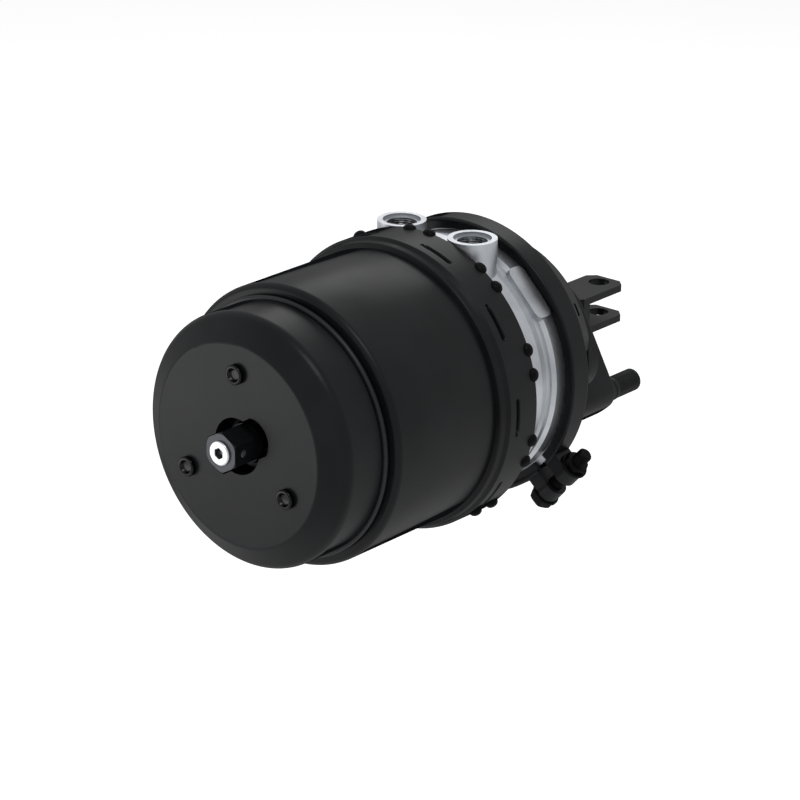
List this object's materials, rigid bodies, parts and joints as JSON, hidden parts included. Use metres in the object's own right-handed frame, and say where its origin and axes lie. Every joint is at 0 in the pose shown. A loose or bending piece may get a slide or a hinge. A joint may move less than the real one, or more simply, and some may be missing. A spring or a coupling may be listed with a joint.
{
  "type": "air brake chamber",
  "caption": "Double air brake chamber: a spring section and a service section share one flange and drive a push rod with a clevis.",
  "frame": {"origin": "centre of the mounting face, on the push rod's axis", "axes": "+X along the push rod, out of the chamber towards the clevis; +Z towards the two air ports"},
  "size_m": [0.4019, 0.2037, 0.204],
  "materials": {
    "black_coat": "semi-gloss black dip coat",
    "worn_coat": "grey-black coat",
    "dark_steel": "black phosphate",
    "bare_steel": "ground",
    "zinc_steel": "bright zinc plate",
    "grey_steel": "dark grey coat",
    "spring_steel": "black lacquer",
    "cast_alloy": "die cast, blasted",
    "black_rubber": "moulded",
    "black_plastic": "moulded"
  },
  "bodies": {
    "chamber": {"spring_housing": "black_coat", "end_cap": "black_coat", "lock_ring": "worn_coat", "vent_plugs": "black_plastic", "release_guide": "dark_steel", "power_spring": "spring_steel", "flange": "cast_alloy", "flange_seal": "black_rubber", "tube_seal": "black_rubber", "tube_bush": "black_plastic", "diaphragm": "black_rubber", "service_housing": "black_coat", "mounting_studs": "dark_steel", "clamp_ring": "black_coat", "clamp_bolt": "dark_steel", "clamp_nut": "dark_steel", "return_spring": "spring_steel", "rod_boot": "black_rubber"},
    "push_rod": {"push_plate": "zinc_steel", "push_rod": "zinc_steel", "rod_nut": "zinc_steel", "clevis": "grey_steel", "clevis_ears": "grey_steel"},
    "spring_piston": {"spring_piston": "cast_alloy", "piston_seal": "black_rubber", "piston_guide": "black_plastic", "piston_tube": "bare_steel", "tube_foot": "black_plastic"},
    "release_washer": {"release_washer": "zinc_steel"},
    "release_bolt": {"release_bolt": "dark_steel", "cap_screw": "zinc_steel"}
  },
  "joints": [
    {"name": "rod_stroke", "type": "slide", "parent": "chamber", "child": "push_rod", "axis": [1, 0, 0], "range_m": [0, 0.057], "deforming": ["return_spring", "diaphragm"]},
    {"name": "piston_stroke", "type": "slide", "parent": "chamber", "child": "spring_piston", "axis": [1, 0, 0], "range_m": [0, 0.057], "deforming": ["power_spring"]},
    {"name": "release_travel", "type": "slide", "parent": "chamber", "child": "release_washer", "axis": [-1, 0, 0], "range_m": [0, 0.057]},
    {"name": "release_turn", "type": "hinge", "parent": "release_washer", "child": "release_bolt", "pos_m": [-0.316, 0, 0], "axis": [-1, 0, 0], "range_deg": [0, 10260]}
  ],
  "couplings": [
    {"joint": "piston_stroke", "follows": "rod_stroke", "ratio": 1},
    {"joint": "release_turn", "follows": "release_travel", "rad_per_m": 3141.6}
  ]
}
